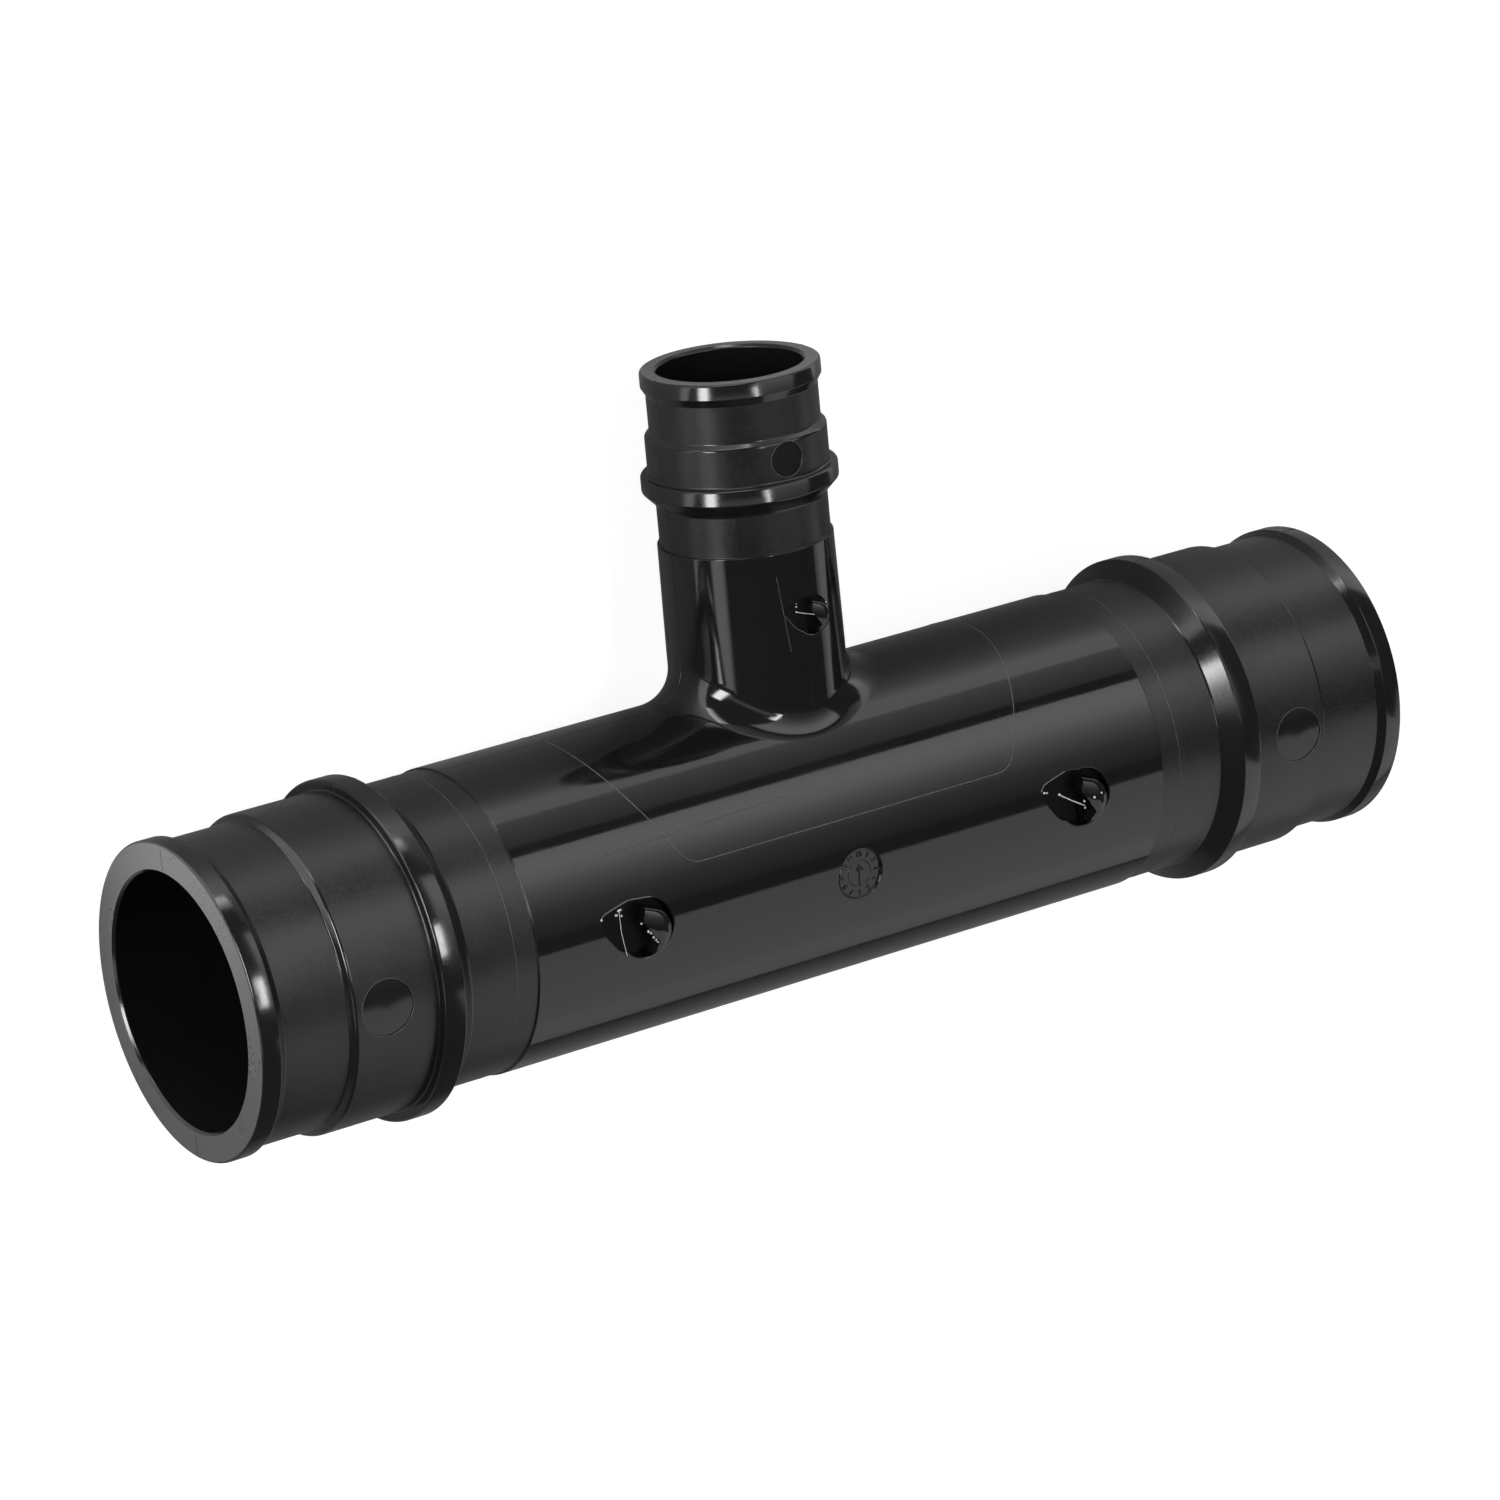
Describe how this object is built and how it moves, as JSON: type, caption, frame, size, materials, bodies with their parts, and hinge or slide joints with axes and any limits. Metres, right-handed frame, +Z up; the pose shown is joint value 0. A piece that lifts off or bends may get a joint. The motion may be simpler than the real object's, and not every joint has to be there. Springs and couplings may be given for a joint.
{
  "type": "reducing tee",
  "caption": "One-piece moulded plastic tee with two large stepped spigots on a straight run and a smaller stepped spigot on a filleted side branch.",
  "frame": {"origin": "the point where the axes of the run and the branch cross", "axes": "+X along the run, +Z up; the branch points along +Y and dips 9.9 degrees below level, so that the fitting lies at rest on its two run stop rings and the lip of its branch"},
  "size_m": [0.2116, 0.1025, 0.053],
  "materials": {
    "black_plastic": "glossy on the body and branch body, finely textured satin on the spigots"
  },
  "bodies": {
    "root": {"tee": "black_plastic"}
  },
  "joints": []
}
